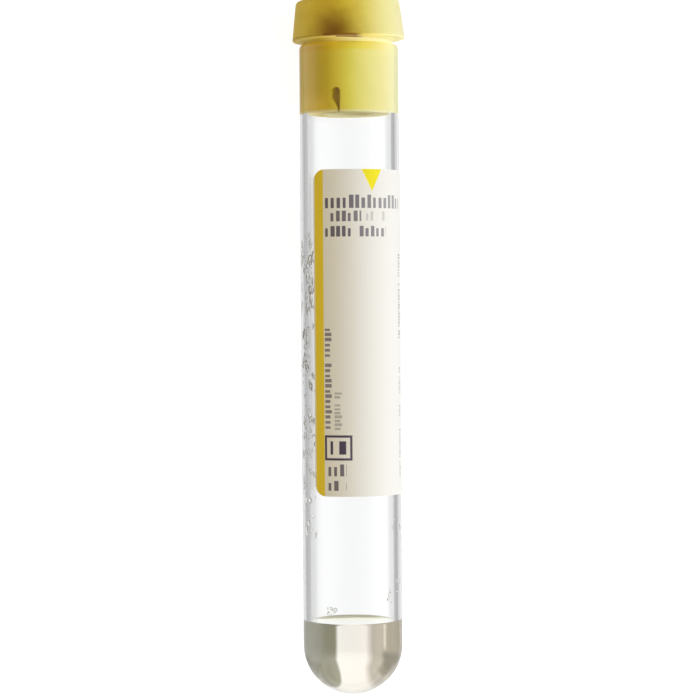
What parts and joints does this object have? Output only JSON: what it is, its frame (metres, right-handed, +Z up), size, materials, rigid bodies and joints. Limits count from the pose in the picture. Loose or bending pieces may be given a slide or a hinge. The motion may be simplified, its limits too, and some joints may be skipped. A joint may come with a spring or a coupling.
{
  "type": "blood collection tube",
  "caption": "Round-ended glass blood collection tube with a yellow rubber stopper, a wrapped paper label and a little clear additive in its end.",
  "frame": {"origin": "on the floor that the tube lies on, below the middle of the whole part's box", "axes": "+Y along the tube towards the stopper, which the axis rises to by 0.6 degrees; +X to the right and +Z up, with the label's printed side facing up"},
  "size_m": [0.0172, 0.107, 0.0173],
  "materials": {
    "clear_glass": "gloss",
    "yellow_rubber": "satin",
    "label_paper": "matte",
    "clear_solution": "gloss"
  },
  "bodies": {
    "tube": {"glass_tube": "clear_glass", "paper_label": "label_paper", "additive_solution": "clear_solution"},
    "stopper": {"rubber_stopper": "yellow_rubber"}
  },
  "joints": [
    {"name": "stopper_pull", "type": "slide", "parent": "tube", "child": "stopper", "axis": [0, 0.9999, 0.0107], "range_m": [0, 0.025]}
  ]
}
